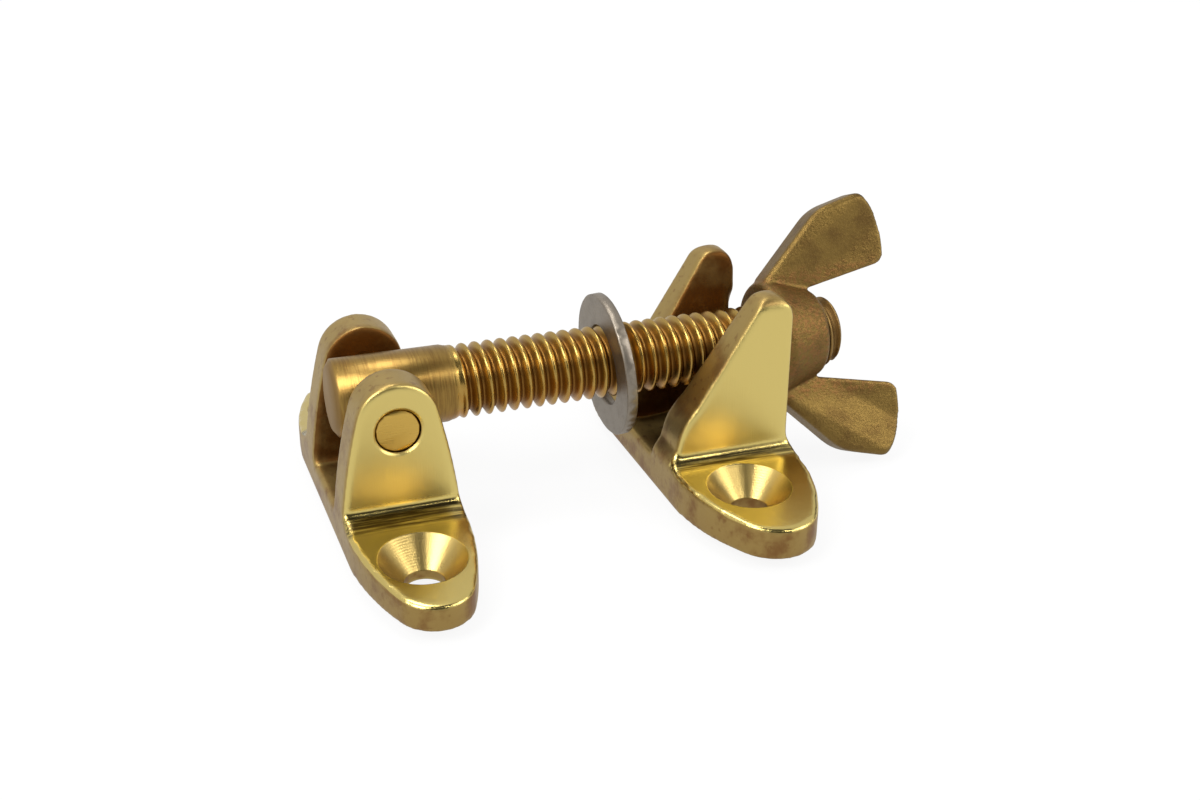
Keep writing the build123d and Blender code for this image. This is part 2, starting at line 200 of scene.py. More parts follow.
class Graph:
    """The node tree of one material, with the principled shader at its end."""

    def __init__(self, name: str) -> None:
        """Makes the material and empties its tree but for the shader and the output."""
        self.material = bpy.data.materials.new(name)
        self.material.use_nodes = True
        self.tree = self.material.node_tree
        self.tree.nodes.clear()
        self.output = self.tree.nodes.new("ShaderNodeOutputMaterial")
        self.shader = self.tree.nodes.new("ShaderNodeBsdfPrincipled")
        self.tree.links.new(self.shader.outputs[0], self.output.inputs[0])

    def node(self, kind: str, settings: dict[str, Any], sockets: dict[Any, Any], out: Any = 0) -> Value:
        """Adds a node.

        Args:
            kind: the node's type name.
            settings: its properties, set before its sockets.
            sockets: values or links by socket name or number.
            out: the output that is wanted, by name or number.

        Returns:
            The wanted output.
        """
        made = self.tree.nodes.new(kind)
        for key, setting in settings.items():
            setattr(made, key, setting)
        for key, value in sockets.items():
            self.feed(made.inputs[key], value)
        return Value(self, made.outputs[out])

    def feed(self, socket: NodeSocket, value: Any) -> None:
        """Links a value to a socket, or sets the socket's own value."""
        if isinstance(value, Value):
            self.tree.links.new(value.socket, socket)
        elif isinstance(value, tuple) and socket.type == "RGBA":
            socket.default_value = (*value, 1.0)
        else:
            socket.default_value = value

    def give(self, **sockets: Any) -> None:
        """Feeds sockets of the principled shader, named with _ for a space."""
        for key, value in sockets.items():
            self.feed(self.shader.inputs[key.replace("_", " ")], value)

    def place(self, offset: Colour) -> Value:
        """Object coordinates in millimetres, from an offset that is given in millimetres."""
        raw = self.node("ShaderNodeTexCoord", {}, {}, "Object")
        return self.node(
            "ShaderNodeMapping",
            {"vector_type": "POINT"},
            {"Vector": raw, "Location": tuple(-part for part in offset), "Scale": (1.0 / MM,) * 3},
        )

    def facing(self) -> Value:
        """The surface's own direction in object coordinates."""
        return self.node("ShaderNodeTexCoord", {}, {}, "Normal")

    def parts(self, vector: Value) -> Triple:
        """The three components of a vector."""
        split = self.tree.nodes.new("ShaderNodeSeparateXYZ")
        self.feed(split.inputs[0], vector)
        return tuple(Value(self, split.outputs[i]) for i in range(3))

    def noise(self, place: Value, grain: Grain) -> Value:
        """Soft noise from 0 to 1.

        Args:
            place: the coordinates in millimetres.
            grain: the noise's size and octaves.

        Returns:
            The noise.
        """
        scaled = self.node("ShaderNodeVectorMath", {"operation": "MULTIPLY"}, {0: place, 1: grain.stretch})
        return self.node(
            "ShaderNodeTexNoise",
            {"noise_dimensions": "3D"},
            {"Vector": scaled, "Scale": 1.0, "Detail": grain.detail, "Roughness": grain.rough},
        )

    def blend(self, share: Any, first: Any, second: Any) -> Value:
        """Mixes two colours.

        Args:
            share: how much of the second shows.
            first: the colour at 0.
            second: the colour at 1.

        Returns:
            The mixed colour.
        """
        mix = self.tree.nodes.new("ShaderNodeMix")
        mix.data_type = "RGBA"
        self.feed(mix.inputs["Factor"], share)
        self.feed(mix.inputs[6], first)
        self.feed(mix.inputs[7], second)
        return Value(self, mix.outputs[2])

    def relief(self, height: Value, depth: float, edge: float) -> None:
        """Gives the shader a bump over softened edges.

        Args:
            height: the bump's height from 0 to 1.
            depth: the height's full depth in metres.
            edge: the radius of the softened edges in metres.
        """
        soft = self.softened(edge)
        bump = self.node("ShaderNodeBump", {}, {"Distance": depth, "Height": height, "Normal": soft})
        self.give(Normal=bump)

    def softened(self, radius: float) -> Value:
        """The surface's direction, turned smoothly over edges within a radius in metres."""
        return self.node("ShaderNodeBevel", {"samples": BEVEL_SAMPLES}, {"Radius": radius})

    def edge_wear_and_highlight(self, radius: float, turned: Band = (0.995, 0.86)) -> Value:
        """1 on edges and in corners, 0 on open faces: where wear and a painted highlight are laid.

        Args:
            radius: how far from an edge the wear and the painted highlight reach, in metres.
            turned: the cosines, of the direction softened against the true one, at which
            the wear and the painted highlight start and are full.

        Returns:
            The mask of the wear and the painted highlight.
        """
        soft = self.softened(radius)
        true = self.node("ShaderNodeNewGeometry", {}, {}, "Normal")
        same = self.node("ShaderNodeVectorMath", {"operation": "DOT_PRODUCT"}, {0: soft, 1: true}, "Value")
        return same.ramp(*turned)


class Finish(ABC):
    """A bare metal's look, whose depth of bump and softened edge are in millimetres."""

    name: str
    depth: float
    soft_edge: float

    @abstractmethod
    def look(self, g: Graph) -> Triple:
        """Builds the look.

        Args:
            g: the material's graph.

        Returns:
            The colour, the roughness and the bump's height.
        """

    def make(self) -> Material:
        """Builds the material.

        Returns:
            The finished material.
        """
        g = Graph(self.name)
        colour, rough, height = self.look(g)
        g.give(Base_Color=colour, Metallic=1.0, Roughness=rough)
        g.relief(height, self.depth * MM, self.soft_edge * MM)
        return g.material


@dataclass(frozen=True)
class CastZones:
    """Where a casting has each of its looks, and the noises in them, each from 0 to 1.

    Polish is upward and outward together, and the rest is what isn't polished.
    """

    upward: Value
    outward: Value
    polish: Value
    rest: Value
    cavity: Value
    bore: Value
    rings: Value
    # dark band in the root scoop: partly polish residue, partly a painted dark reflection
    residue_and_painted_reflection: Value
    stain: Value
    spots: Value
    buffed: Value
    blotch: Value
    grit: Value
    lines: Value
    cloud: Value


@dataclass(frozen=True)
class CastShares:
    """How strongly each look of a casting shows."""

    bore_satin: float = 0.85
    top_satin: float = 0.25
    # strength of the root scoop's band, which is partly polish residue and partly a painted dark
    # reflection
    soot_and_painted_reflection: float = 0.85
    spots: float = 0.5
    # how strongly edges and corners take the polished colour: partly wear, partly a painted highlight
    edges: float = 0.4
    floor: float = 0.1
    blotch_stain: float = 0.6
    grit_stain: float = 0.15
    low_stain: float = 0.35
    hollow: float = 0.7
    hollow_mottle: float = 0.3


@dataclass(frozen=True)
class CastRoughness:
    """What each look adds to a casting's roughness."""

    polish: float = 0.13
    lines: float = 0.07
    cloud: float = 0.05
    buffed: float = 0.15
    rest: float = 0.14
    grit: float = 0.14
    cavity: float = 0.12
    bore: float = 0.1


@dataclass(frozen=True)
class CastRelief:
    """How high each look stands in a casting's bump."""

    rings: float = 0.11
    lines: float = 0.45
    grit: float = 0.7
    cavity: float = 0.5
    cloud: float = 0.5


@dataclass(frozen=True)
class CastBrass(Finish):
    """A brass casting: outer faces and foot tops polished, rims satin, hollows left as cast.

    Sizes are in millimetres, from the casting's own middle line. A band holds the value at
    which a look starts and the value at which it is full. Bands of places count from the
    line that they name, and bands of directions are components of the surface's direction.
    """

    name: str
    middle: Colour
    face_y: float
    slot_y: float
    root_y: float
    foot_z: float
    hole_x: float
    hole_y: float
    mouth_r: float = 4.8
    ring_rate: float = 30.0
    depth: float = 0.03
    soft_edge: float = 0.22
    # reach of the edges' wear and painted highlight, in millimetres
    edge_wear_and_highlight_reach: float = 0.55

    polished: Colour = (0.78, 0.620, 0.205)
    satin: Colour = (0.43, 0.30, 0.10)
    tarnish: Colour = (0.24, 0.12, 0.04)
    hollow: Colour = (0.15, 0.062, 0.014)
    # near black of the root scoop's band: partly polish residue, partly a painted dark reflection
    soot_and_painted_reflection: Colour = (0.050, 0.028, 0.010)

    facing_up: Band = (0.25, 0.5)
    facing_out: Band = (0.3, 0.6)
    facing_in: Band = (-0.35, -0.7)
    level: Band = (0.4, 0.8)
    cone_top: Band = (0.86, 0.78)
    cone_foot: Band = (0.4, 0.5)
    scoop_up: Band = (0.2, 0.45)

    past_face: Band = (-0.3, -0.15)
    within_face: Band = (-1.2, -1.6)
    within_root: Band = (0.25, 0.05)
    within_slot: Band = (0.0, -0.3)
    under_crown: Band = (11.0, 10.0)
    within_mouth: Band = (0.0, -0.1)
    scoop_start: Band = (0.02, 0.3)
    scoop_end: Band = (-0.1, -1.1)
    buffed_z: Band = (5.0, 6.0)
    stain_over_foot: float = 3.0
    stain_full_z: float = 0.2

    blotches: Grain = Grain((0.28,) * 3, 3.0, 0.55)
    grits: Grain = Grain((2.6,) * 3, 4.0)
    streaks: Grain = Grain((0.14, 3.0, 3.0))
    specks: Grain = Grain((1.2,) * 3, 2.0, 0.5)
    rub_lines: Grain = Grain((9.0, 6.0, 0.3), 3.0, 0.5)
    clouds: Grain = Grain((0.5,) * 3, 2.0, 0.5)
    stained: Band = (0.5, 0.8)
    streaked: Band = (0.34, 0.58)
    specked: Band = (0.60, 0.70)
    mottled: Band = (0.35, 0.6)

    shares: CastShares = CastShares()
    rough: CastRoughness = CastRoughness()
    bump: CastRelief = CastRelief()

    def look(self, g: Graph) -> Triple:
        """The casting's colour, roughness and bump."""
        zones = self.zones(g)
        return self.colour(g, zones), self.roughness(zones), self.height(zones)

    def zones(self, g: Graph) -> CastZones:
        """Finds where each look goes.

        Args:
            g: the material's graph.

        Returns:
            The looks' places.
        """
        place = g.place(self.middle)
        x, y, z = g.parts(place)
        _, ny, nz = g.parts(g.facing())
        out = ny * y.sign()
        side = abs(y)
        blotch = g.noise(place, self.blotches)
        grit = g.noise(place, self.grits)
        past_face = side.ramp(*self.past_face, self.face_y)
        upward = nz.ramp(*self.facing_up) * past_face
        outward = out.ramp(*self.facing_out) * side.ramp(*self.within_root, self.root_y) * past_face
        polish = upward.at_least(outward)
        rest = 1.0 - polish
        inward = out.ramp(*self.facing_in) * side.ramp(*self.within_face, self.face_y)
        floor = nz.ramp(*self.level) * side.ramp(*self.within_slot, self.slot_y)
        floor = floor * z.ramp(*self.under_crown)
        low = z.ramp(self.foot_z + self.stain_over_foot, self.stain_full_z) * rest * (1.0 - floor)
        over = x - self.hole_x
        along = side - self.hole_y
        reach = (over * over + along * along) ** 0.5
        mouth = reach.ramp(*self.within_mouth, self.mouth_r)
        # the root scoop, where a band of polish residue and painted dark reflection lies on upward faces
        scoop = side.ramp(*self.scoop_start, self.face_y) * side.ramp(*self.scoop_end, self.root_y)
        streak = g.noise(place, self.streaks).ramp(*self.streaked)
        shares = self.shares
        stain = (blotch + grit * shares.grit_stain).ramp(*self.stained) * shares.blotch_stain
        return CastZones(
            upward=upward,
            outward=outward,
            polish=polish,
            rest=rest,
            cavity=inward.at_least(floor * shares.floor),
            bore=mouth * nz.ramp(*self.cone_top) * nz.ramp(*self.cone_foot),
            rings=(reach * self.ring_rate).sine() * 0.5 + 0.5,
            residue_and_painted_reflection=scoop * streak * nz.ramp(*self.scoop_up),
            stain=(stain + low * shares.low_stain) * rest,
            spots=g.noise(place, self.specks).ramp(*self.specked) * rest,
            buffed=z.ramp(*self.buffed_z),
            blotch=blotch,
            grit=grit,
            lines=g.noise(place, self.rub_lines),
            cloud=g.noise(place, self.clouds),
        )

    def colour(self, g: Graph, zones: CastZones) -> Value:
        """Lays the colours over each other, from the bare metal to the edges, which are partly worn and
        partly a painted highlight.

        Args:
            g: the material's graph.
            zones: the looks' places.

        Returns:
            The colour.
        """
        shares = self.shares
        satin = (zones.bore * shares.bore_satin).at_least(zones.upward * shares.top_satin)
        mottle = zones.blotch.ramp(*self.mottled)
        # edges and corners lightened towards the polished colour: partly wear, partly a painted highlight
        edges = g.edge_wear_and_highlight(self.edge_wear_and_highlight_reach * MM) * shares.edges * (1.0 - zones.cavity)
        colour = self.satin
        for share, coat in (
            (zones.polish, self.polished),
            (satin, self.satin),
            # the root scoop's band: partly polish residue, partly a painted dark reflection
            (zones.residue_and_painted_reflection * shares.soot_and_painted_reflection, self.soot_and_painted_reflection),
            (zones.stain.ramp(0.0, 1.0), self.tarnish),
            (zones.spots * shares.spots, self.tarnish),
            (zones.cavity * (shares.hollow + shares.hollow_mottle * mottle), self.hollow),
            (edges, self.polished),
        ):
            colour = g.blend(share, colour, coat)
        return colour

    def roughness(self, zones: CastZones) -> Value:
        """Glossy where polished, duller on the rims, in the hollows and in the bores."""
        rough = self.rough
        total = rough.polish + rough.lines * zones.lines + rough.cloud * zones.cloud
        total = total + rough.buffed * zones.outward * zones.buffed
        total = total + zones.rest * (rough.rest + rough.grit * zones.grit)
        return total + zones.cavity * rough.cavity + zones.bore * rough.bore

    def height(self, zones: CastZones) -> Value:
        """Turned rings in the bores, rub lines on polish, grit on the rest, slow waves overall."""
        bump = self.bump
        height = zones.bore * zones.rings * bump.rings + zones.lines * zones.polish * bump.lines
        height = height + zones.grit * zones.rest * bump.grit
        height = height + zones.cavity * zones.grit * bump.cavity
        return height + zones.cloud * bump.cloud


@dataclass(frozen=True)
class TurnedBrass(Finish):
    """Drawn brass rod with a cut thread: bright crests, grooves darkened with painted shade, fine turning
    lines.

    Sizes are in millimetres, and bands are as in a casting's finish.
    """

    name: str = "turned_brass"
    axis_z: float = 13.2
    crest_r: float = 3.95
    crest_depth: float = 0.12
    root_r: float = 3.15
    shank_end: float = 7.6
    nut_end: float = 50.5
    tail: float = -4.9
    depth: float = 0.02
    soft_edge: float = 0.12

    bright: Colour = (0.48, 0.315, 0.085)
    # orange: random mottle, and painted shade on the rod's underside
    orange: Colour = (0.48, 0.240, 0.048)
    # colour of the thread's roots: painted shade in the grooves
    groove: Colour = (0.22, 0.095, 0.018)
    stained: Colour = (0.29, 0.18, 0.065)
    lathe: Colour = (0.20, 0.11, 0.030)

    past_shank: Band = (0.0, 0.6)
    within_shank: Band = (0.4, -0.2)
    past_nut: Band = (-0.4, 0.3)
    past_tail: Band = (0.5, 0.2)
    # underside band: painted shade, darker and more orange under the rod
    underside: Band = (1.5, -3.5)

    blotches: Grain = Grain((0.3,) * 3)
    turned: Grain = Grain((5.0, 0.35, 0.35), 4.0)
    blotched: Band = (0.4, 0.75)
    ringed: Band = (0.4, 0.65)

    blotch_tint: float = 0.55
    # strength of the painted shade on the rod's underside
    underside_shade: float = 0.5
    groove_shade_share: float = 0.85
    shank_share: float = 0.5
    ring_share: float = 0.3
    end_share: float = 0.85
    rough: float = 0.2
    rough_rings: float = 0.12
    rough_groove: float = 0.16
    rough_ends: float = 0.2
    rough_shank: float = 0.08

    def look(self, g: Graph) -> Triple:
        """The rod's colour, roughness and turning lines."""
        place = g.place((0.0, 0.0, self.axis_z))
        x, y, z = g.parts(place)
        radius = (y * y + z * z) ** 0.5
        blotch = g.noise(place, self.blotches)
        rings = g.noise(place, self.turned)
        # the thread's roots, which take painted shade and more roughness
        deep = radius.ramp(self.crest_r - self.crest_depth, self.root_r)
        deep = deep * x.ramp(*self.past_shank, self.shank_end)
        dull = x.ramp(*self.past_nut, self.nut_end).at_least(x.ramp(*self.past_tail, self.tail))
        shank = x.ramp(*self.within_shank, self.shank_end)
        # random mottle, plus painted shade towards the rod's underside
        mottle_and_underside_shade = blotch.ramp(*self.blotched) * self.blotch_tint + z.ramp(*self.underside) * self.underside_shade
        turned = self.shank_share + self.ring_share * rings.ramp(*self.ringed)
        colour = g.blend(mottle_and_underside_shade.ramp(0.0, 1.0), self.bright, self.orange)
        # painted shade in the thread's roots
        colour = g.blend(deep * self.groove_shade_share, colour, self.groove)
        colour = g.blend(shank * turned, colour, self.lathe)
        colour = g.blend(dull * self.end_share, colour, self.stained)
        rough = self.rough + self.rough_rings * rings + deep * self.rough_groove
        rough = rough + dull * self.rough_ends + shank * self.rough_shank
        return colour, rough, rings


@dataclass(frozen=True)
class PinBrass(Finish):
    """The faced ends of the pivot pin, a little more orange than the casting."""

    name: str = "pin_brass"
    face: Colour = (0.68, 0.44, 0.10)
    rim: Colour = (0.20, 0.10, 0.03)
    radius: float = 2.35
    rim_band: Band = (-0.3, 0.0)
    axis_z: float = 13.2
    filed: Grain = Grain((0.3, 4.0, 10.0), 3.0, 0.5)
    rim_share: float = 0.7
    rough: float = 0.24
    rough_lines: float = 0.1
    depth: float = 0.01
    soft_edge: float = 0.15

    def look(self, g: Graph) -> Triple:
        """The pin's colour, roughness and filed lines."""
        place = g.place((0.0, 0.0, self.axis_z))
        x, _, z = g.parts(place)
        lines = g.noise(place, self.filed)
        edge = ((x * x + z * z) ** 0.5).ramp(*self.rim_band, self.radius)
        colour = g.blend(edge * self.rim_share, self.face, self.rim)
        return colour, self.rough + self.rough_lines * lines, lines


@dataclass(frozen=True)
class TumbledBrass(Finish):
    """A tumbled casting: dull brown, warmer and pitted on the hub, brighter on its edges, partly from
    handling wear and partly as a painted glint.
    """

    name: str = "tumbled_brass"
    middle: Colour = (48.0, 0.0, 13.2)
    hub_r: float = 7.2
    hub_band: Band = (1.0, -0.6)
    depth: float = 0.07
    soft_edge: float = 0.3
    edge_wear_and_highlight_reach: float = 0.9

    base: Colour = (0.23, 0.145, 0.040)
    dark: Colour = (0.11, 0.058, 0.020)
    # edge colour: partly handling wear, partly a painted glint
    bright: Colour = (0.52, 0.37, 0.13)
    warm: Colour = (0.27, 0.130, 0.045)

    blotches: Grain = Grain((0.35,) * 3, 4.0)
    grits: Grain = Grain((3.0,) * 3, 5.0, 0.65)
    pitting: Grain = Grain((1.6, 2.4, 2.4), 4.0)
    blotched: Band = (0.55, 1.0)
    pitted: Band = (0.42, 0.62)

    grit_in_blotch: float = 0.4
    dark_share: float = 0.7
    warm_share: float = 0.75
    # how much the edges lighten: partly wear, partly a painted glint
    edge_share: float = 0.65
    edge_less_on_hub: float = 0.3
    pit_height: float = 1.5
    rough: float = 0.36
    rough_grit: float = 0.14
    rough_edges: float = 0.12
    rough_hub: float = 0.06

    def look(self, g: Graph) -> Triple:
        """The casting's colour, roughness and pitted skin."""
        place = g.place(self.middle)
        _, y, z = g.parts(place)
        blotch = g.noise(place, self.blotches)
        grit = g.noise(place, self.grits)
        pits = g.noise(place, self.pitting)
        hub = ((y * y + z * z) ** 0.5).ramp(*self.hub_band, self.hub_r)
        edges = g.edge_wear_and_highlight(self.edge_wear_and_highlight_reach * MM)
        dark = (blotch + grit * self.grit_in_blotch).ramp(*self.blotched)
        colour = g.blend(dark * self.dark_share, self.base, self.dark)
        colour = g.blend(hub * pits.ramp(*self.pitted) * self.warm_share, colour, self.warm)
        # edges lightened, less on the hub: partly wear, partly a painted glint
        colour = g.blend(edges * (self.edge_share - self.edge_less_on_hub * hub), colour, self.bright)
        rough = self.rough + self.rough_grit * grit - self.rough_edges * edges + self.rough_hub * hub
        return colour, rough, grit + blotch + hub * pits * self.pit_height


@dataclass(frozen=True)
class GreySteel(Finish):
    """Matt grey washer steel with a stamped, slightly rolled rim."""

    name: str = "grey_steel"
    middle: Colour = (25.6, 0.0, 12.8)
    base: Colour = (0.31, 0.268, 0.215)
    dark: Colour = (0.19, 0.158, 0.122)
    blotches: Grain = Grain((0.5,) * 3, 4.0)
    grits: Grain = Grain((5.0,) * 3, 4.0)
    blotched: Band = (0.42, 0.72)
    blotch_share: float = 0.7
    grit_share: float = 0.3
    dark_share: float = 0.6
    rough: float = 0.34
    rough_grit: float = 0.18
    depth: float = 0.02
    soft_edge: float = 0.2

    def look(self, g: Graph) -> Triple:
        """The steel's colour, roughness and grit."""
        place = g.place(self.middle)
        blotch = g.noise(place, self.blotches)
        grit = g.noise(place, self.grits)
        mottle = (blotch * self.blotch_share + grit * self.grit_share).ramp(*self.blotched)
        colour = g.blend(mottle * self.dark_share, self.base, self.dark)
        return colour, self.rough + self.rough_grit * grit, grit


def eased(share: float) -> float:
    """A share held between 0 and 1, with a soft start and end."""
    share = min(1.0, max(0.0, share))
    return share * share * (3.0 - 2.0 * share)


def put_in(mesh: BMesh, name: str, material: Material, sharp: float = SHARP) -> Object:
    """Makes an object at the origin from a bmesh, with smooth faces and sharp edges by angle.

    Args:
        mesh: the finished bmesh, which is freed.
        name: the piece's name.
        material: its only material.
        sharp: the angle in degrees from which an edge is sharp.

    Returns:
        The new object, linked to the scene.
    """
    data = bpy.data.meshes.new(name)
    mesh.to_mesh(data)
    mesh.free()
    data.shade_smooth()
    data.set_sharp_from_angle(angle=math.radians(sharp))
    data.materials.append(material)
    made = bpy.data.objects.new(name, data)
    bpy.context.scene.collection.objects.link(made)
    return made


def copy_of(node: Node) -> BMesh:
    """A merged copy of a CAD node's mesh, which itself is left alone."""
    mesh = bmesh.new()
    mesh.from_mesh(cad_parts[node.value].data)
    bmesh.ops.remove_doubles(mesh, verts=mesh.verts, dist=MERGE)
    return mesh


def join(mesh: BMesh, other: BMesh) -> None:
    """Adds another bmesh to a bmesh and frees the other."""
    data = bpy.data.meshes.new("joined")
    other.to_mesh(data)
    other.free()
    mesh.from_mesh(data)
    bpy.data.meshes.remove(data)


def cut_at(mesh: BMesh, x: float, keep_left: bool) -> None:
    """Cuts a mesh across the bolt's axis and closes the cut.

    Args:
        mesh: the mesh to cut.
        x: where the cut is.
        keep_left: whether the side of smaller x stays.
    """
    bmesh.ops.bisect_plane(
        mesh,
        geom=mesh.verts[:] + mesh.edges[:] + mesh.faces[:],
        dist=CUT,
        plane_co=(x, 0.0, 0.0),
        plane_no=(1.0, 0.0, 0.0),
        clear_outer=keep_left,
        clear_inner=not keep_left,
    )
    rim = [e for e in mesh.edges if e.is_boundary and all(abs(v.co.x - x) < MERGE for v in e.verts)]
    bmesh.ops.holes_fill(mesh, edges=rim, sides=0)


@dataclass
class ThreadedBolt:
    """The swing bolt: its bored shank, and a real helical thread over the rest.

    The groove is one pitch of the thread's outline, in shares of the pitch and of the
    height from root to crest. The thread fades out into the shank, which it overlaps.
    """

    axis_z: float = 13.2 * MM
    crest_r: float = 3.95 * MM
    root_r: float = 3.16 * MM
    pitch: float = 1.4111 * MM
    first_crest: float = 9.68 * MM
    shank_end: float = 7.75 * MM
    run_out: float = 1.5 * MM
    end_x: float = max(vert.co.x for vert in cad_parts[Node.SWING_BOLT.value].data.vertices)
    dome: float = 1.6 * MM
    dome_least: float = 0.02
    pitches_before: float = 3.5
    overlap: float = 0.12 * MM
    fade: float = 0.03 * MM
    weld: float = 0.004 * MM
    on_axis: float = 0.0001 * MM
    steps: int = 56
    sharp: float = 34.0
    groove: tuple[tuple[float, float], ...] = (
        (0.00, 0.00), (0.06, 0.02), (0.14, 0.16), (0.24, 0.46), (0.33, 0.76), (0.40, 0.93),
        (0.46, 0.99), (0.50, 1.00), (0.54, 0.99), (0.60, 0.93), (0.67, 0.76), (0.76, 0.46),
        (0.86, 0.16), (0.94, 0.02), (1.00, 0.00),
    )
    finish: TurnedBrass = field(default_factory=TurnedBrass)

    def shank(self) -> BMesh:
        """The plain shank with its cross hole, cut from a copy of the solid."""
        mesh = copy_of(Node.SWING_BOLT)
        cut_at(mesh, self.shank_end, keep_left=True)
        return mesh

    def limit(self, x: float) -> float:
        """The largest radius that the bolt has at x, less at its domed end."""
        into = max(0.0, x - (self.end_x - self.dome)) / self.dome
        return self.crest_r * math.sqrt(max(self.dome_least, 1.0 - into * into))

    def thread(self) -> BMesh:
        """One groove's outline, spun and carried along the axis into a right-hand thread."""
        mesh = bmesh.new()
        start = self.first_crest - self.pitches_before * self.pitch
        turns = math.ceil((self.end_x - start) / self.pitch) + 1
        depth = self.crest_r - self.root_r
        line = [
            mesh.verts.new((start + t * self.pitch, 0.0, self.axis_z + self.root_r + h * depth))
            for t, h in self.groove
        ]
        edges = [mesh.edges.new(pair) for pair in zip(line, line[1:])]
        bmesh.ops.spin(
            mesh,
            geom=line + edges,
            cent=(0.0, 0.0, self.axis_z),
            axis=(1.0, 0.0, 0.0),
            dvec=(self.pitch / self.steps, 0.0, 0.0),
            angle=2.0 * math.pi * turns,
            steps=self.steps * turns,
            use_merge=False,
            use_duplicate=False,
        )
        bmesh.ops.remove_doubles(mesh, verts=mesh.verts, dist=self.weld)
        cut_at(mesh, self.shank_end - self.overlap, keep_left=False)
        cut_at(mesh, self.end_x - self.overlap, keep_left=True)
        for vert in mesh.verts:
            self.shape(vert)
        bmesh.ops.recalc_face_normals(mesh, faces=mesh.faces)
        return mesh

    def shape(self, vert: BMVert) -> None:
        """Fades the groove out at the shank and rounds the free end."""
        out = Vector((0.0, vert.co.y, vert.co.z - self.axis_z))
        radius = out.length
        if radius < self.on_axis:
            return
        cut = eased((vert.co.x - self.shank_end) / self.run_out)
        wanted = (self.crest_r - self.fade) * (1.0 - cut) + radius * cut
        wanted = min(wanted, self.limit(vert.co.x))
        out *= wanted / radius
        vert.co = (vert.co.x, out.y, self.axis_z + out.z)

    def build(self) -> None:
        """Makes the bolt's one piece and stands it in for the plain solid."""
        mesh = self.thread()
        join(mesh, self.shank())
        piece = put_in(mesh, "bolt_with_thread", self.finish.make(), self.sharp)
        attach(piece, Body.BOLT.value)
        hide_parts(Node.SWING_BOLT.value)
        LOG.info("bolt: %d faces", len(piece.data.polygons))


@dataclass
class CastWingNut:
    """The wing nut, with the rounded edges and hollows of a tumbled casting.

    The grain is the size of the skin's squares, and each pass smooths them once.
    """

    grain: float = 0.17 * MM
    passes: int = 9
    finish: TumbledBrass = field(default_factory=TumbledBrass)

    def build(self) -> None:
        """Softens a copy of the solid and stands it in for the node."""
        mesh = copy_of(Node.WING_NUT)
        piece = put_in(mesh, "cast_wing_nut", self.finish.make(), NO_SHARP)
        skin = piece.modifiers.new("skin", "REMESH")
        skin.mode = "VOXEL"
        skin.voxel_size = self.grain
        skin.use_smooth_shade = True
        tumble = piece.modifiers.new("tumble", "SMOOTH")
        tumble.factor = 0.5
        tumble.iterations = self.passes
        bake_in(piece)
        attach(piece, Body.NUT.value)
        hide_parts(Node.WING_NUT.value)
        LOG.info("wing nut: %d faces", len(piece.data.polygons))


def bake_in(piece: Object) -> None:
    """Puts what a piece's modifiers make into its mesh and takes them off."""
    bpy.context.view_layer.update()
    depsgraph = bpy.context.evaluated_depsgraph_get()
    made = bpy.data.meshes.new_from_object(piece.evaluated_get(depsgraph))
    old = piece.data
    materials = list(old.materials)
    piece.modifiers.clear()
    piece.data = made
    made.name = piece.name
    if not made.materials:
        for material in materials:
            made.materials.append(material)
    made.shade_smooth()
    bpy.data.meshes.remove(old)


@dataclass(frozen=True)
class Drill:
    """A round cutter: an outline of radius and height in millimetres, spun about its axis.

    A point that lies outside it by no more than the play still counts as on its surface.
    """

    centre: Colour
    axis: Colour
    outline: tuple[tuple[float, float], ...]
    steps: int = 96
    play: float = 0.03
    weld: float = 0.001 * MM

    def cutter(self) -> BMesh:
        """Spins the outline, which starts and ends on the axis.

        Returns:
            The closed cutter.
        """
        mesh = bmesh.new()
        axis = Vector(self.axis)
        side = axis.orthogonal().normalized()
        foot = Vector(self.centre)
        line = [mesh.verts.new((foot + side * r + axis * h) * MM) for r, h in self.outline]
        edges = [mesh.edges.new(pair) for pair in zip(line, line[1:])]
        bmesh.ops.spin(
            mesh,
            geom=line + edges,
            cent=foot * MM,
            axis=axis,
            angle=2.0 * math.pi,
            steps=self.steps,
            use_merge=True,
            use_duplicate=False,
        )
        bmesh.ops.remove_doubles(mesh, verts=mesh.verts, dist=self.weld)
        bmesh.ops.recalc_face_normals(mesh, faces=mesh.faces)
        return mesh

    def holds(self, point: Vector) -> bool:
        """Whether a point lies in the cutter or on its surface."""
        arm = point / MM - Vector(self.centre)
        height = arm.dot(Vector(self.axis))
        radius = (arm - Vector(self.axis) * height).length
        for (r0, h0), (r1, h1) in zip(self.outline, self.outline[1:]):
            if h1 > h0 and h0 <= height <= h1:
                return radius <= r0 + (r1 - r0) * (height - h0) / (h1 - h0) + self.play
        return False


def countersinks(casting: CastBrass, mouth: float, bore: float = 2.0) -> tuple[Drill, ...]:
    """A casting's two screw holes, one on each side, opened at 90 degrees to their mouths.

    Args:
        casting: the casting's finish, which knows where its holes are.
        mouth: the mouths' radius, in millimetres.
        bore: the holes' radius.

    Returns:
        The two drills.
    """
    x = casting.middle[0] + casting.hole_x
    top = casting.foot_z
    under, over = -3.0, top + 6.0
    outline = (
        (0.0, under), (bore, under), (bore, top + bore - mouth),
        (mouth, top), (mouth, over), (0.0, over),
    )
    places = (-casting.hole_y, casting.hole_y)
    return tuple(Drill((x, y, 0.0), (0.0, 0.0, 1.0), outline) for y in places)


